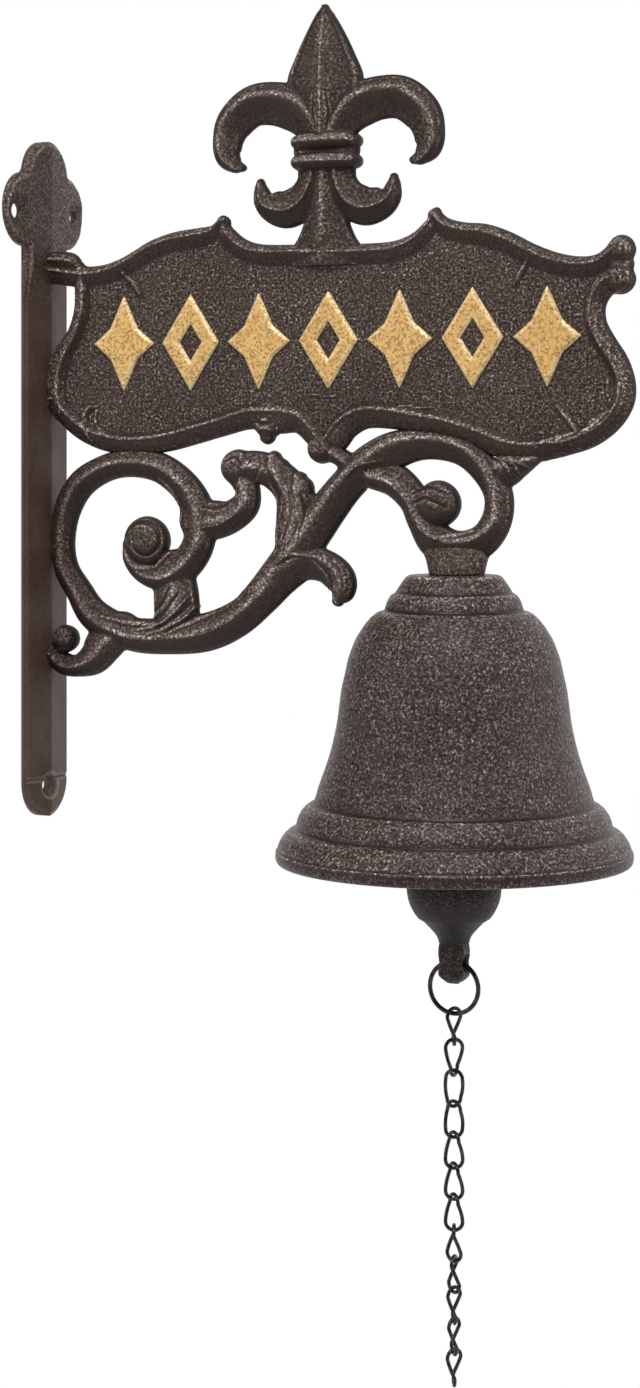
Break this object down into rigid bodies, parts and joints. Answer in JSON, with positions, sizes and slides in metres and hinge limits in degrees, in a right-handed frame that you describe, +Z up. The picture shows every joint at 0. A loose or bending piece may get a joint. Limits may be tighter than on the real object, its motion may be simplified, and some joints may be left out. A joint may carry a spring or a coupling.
{
  "type": "wall-mounted dinner bell",
  "caption": "Cast-iron bell on a scrolled wall bracket with a sign plate and fleur-de-lis finial; clapper hangs inside the bell with a ring and a pull chain.",
  "frame": {"origin": "on the wall strap's flat back face, midway between the two upper screw holes", "axes": "+X out from the wall, towards the bell's side of the sign; +Y across the wall, away from the viewer of the sign's front face; +Z up"},
  "size_m": [0.2011, 0.1074, 0.4179],
  "materials": {
    "bracket_iron": "dark brown paint over a pebbly sand-cast skin",
    "bell_iron": "dark brown paint over a fine sand-cast skin",
    "clapper_iron": "dark, smoother than the bell",
    "hardware_steel": "dark blackened steel",
    "chain_steel": "dark polished wire",
    "gilt_paint": "grainy gold paint, rubbed pale along the edges"
  },
  "bodies": {
    "bracket": {"bracket": "bracket_iron", "bell": "bell_iron", "eye_bolt": "hardware_steel", "washer": "hardware_steel", "nut": "hardware_steel"},
    "joining_link": {"joining_link": "hardware_steel"},
    "clapper": {"clapper": "clapper_iron"},
    "pull_ring": {"pull_ring": "chain_steel"},
    "chain_link_01": {"chain_link_01": "chain_steel"},
    "chain_link_02": {"chain_link_02": "chain_steel"},
    "chain_link_03": {"chain_link_03": "chain_steel"},
    "chain_link_04": {"chain_link_04": "chain_steel"},
    "chain_link_05": {"chain_link_05": "chain_steel"},
    "chain_link_06": {"chain_link_06": "chain_steel"},
    "chain_link_07": {"chain_link_07": "chain_steel"},
    "chain_link_08": {"chain_link_08": "chain_steel"},
    "chain_link_09": {"chain_link_09": "chain_steel"},
    "chain_link_10": {"chain_link_10": "chain_steel"},
    "chain_link_11": {"chain_link_11": "chain_steel"},
    "chain_link_12": {"chain_link_12": "chain_steel"}
  },
  "joints": [
    {"name": "link_swing", "type": "hinge", "parent": "bracket", "child": "joining_link", "pos_m": [0.1437, 0, -0.1335], "axis": [1, 0, 0], "range_deg": [-18, 18]},
    {"name": "clapper_swing", "type": "hinge", "parent": "joining_link", "child": "clapper", "pos_m": [0.1437, 0, -0.14], "axis": [0, 1, 0], "range_deg": [-21, 21]},
    {"name": "ring_swing", "type": "hinge", "parent": "clapper", "child": "pull_ring", "pos_m": [0.1437, 0, -0.2297], "axis": [1, 0, 0], "range_deg": [-30, 30]},
    {"name": "chain_link_01_swing", "type": "hinge", "parent": "pull_ring", "child": "chain_link_01", "pos_m": [0.1437, 0, -0.243], "axis": [0.4695, 0.8829, 0], "range_deg": [-20, 20]},
    {"name": "chain_link_02_swing", "type": "hinge", "parent": "chain_link_01", "child": "chain_link_02", "pos_m": [0.1437, 0, -0.2538], "axis": [-0.454, 0.891, 0], "range_deg": [-20, 20]},
    {"name": "chain_link_03_swing", "type": "hinge", "parent": "chain_link_02", "child": "chain_link_03", "pos_m": [0.1437, 0, -0.2616], "axis": [0.9962, 0.0872, 0], "range_deg": [-20, 20]},
    {"name": "chain_link_04_swing", "type": "hinge", "parent": "chain_link_03", "child": "chain_link_04", "pos_m": [0.1437, 0, -0.2724], "axis": [0.5, 0.866, 0], "range_deg": [-20, 20]},
    {"name": "chain_link_05_swing", "type": "hinge", "parent": "chain_link_04", "child": "chain_link_05", "pos_m": [0.1437, 0, -0.2802], "axis": [-0.8191, 0.5736, 0], "range_deg": [-20, 20]},
    {"name": "chain_link_06_swing", "type": "hinge", "parent": "chain_link_05", "child": "chain_link_06", "pos_m": [0.1437, 0, -0.291], "axis": [-0.9397, -0.342, 0], "range_deg": [-20, 20]},
    {"name": "chain_link_07_swing", "type": "hinge", "parent": "chain_link_06", "child": "chain_link_07", "pos_m": [0.1437, 0, -0.2988], "axis": [-0.766, 0.6428, 0], "range_deg": [-20, 20]},
    {"name": "chain_link_08_swing", "type": "hinge", "parent": "chain_link_07", "child": "chain_link_08", "pos_m": [0.1437, 0, -0.3096], "axis": [-0.9659, -0.2588, 0], "range_deg": [-20, 20]},
    {"name": "chain_link_09_swing", "type": "hinge", "parent": "chain_link_08", "child": "chain_link_09", "pos_m": [0.1437, 0, -0.3174], "axis": [-0.0872, 0.9962, 0], "range_deg": [-20, 20]},
    {"name": "chain_link_10_swing", "type": "hinge", "parent": "chain_link_09", "child": "chain_link_10", "pos_m": [0.1437, 0, -0.3282], "axis": [-0.866, 0.5, 0], "range_deg": [-20, 20]},
    {"name": "chain_link_11_swing", "type": "hinge", "parent": "chain_link_10", "child": "chain_link_11", "pos_m": [0.1437, 0, -0.336], "axis": [0.2588, 0.9659, 0], "range_deg": [-20, 20]},
    {"name": "chain_link_12_swing", "type": "hinge", "parent": "chain_link_11", "child": "chain_link_12", "pos_m": [0.1437, 0, -0.3468], "axis": [-0.6428, 0.766, 0], "range_deg": [-20, 20]}
  ]
}
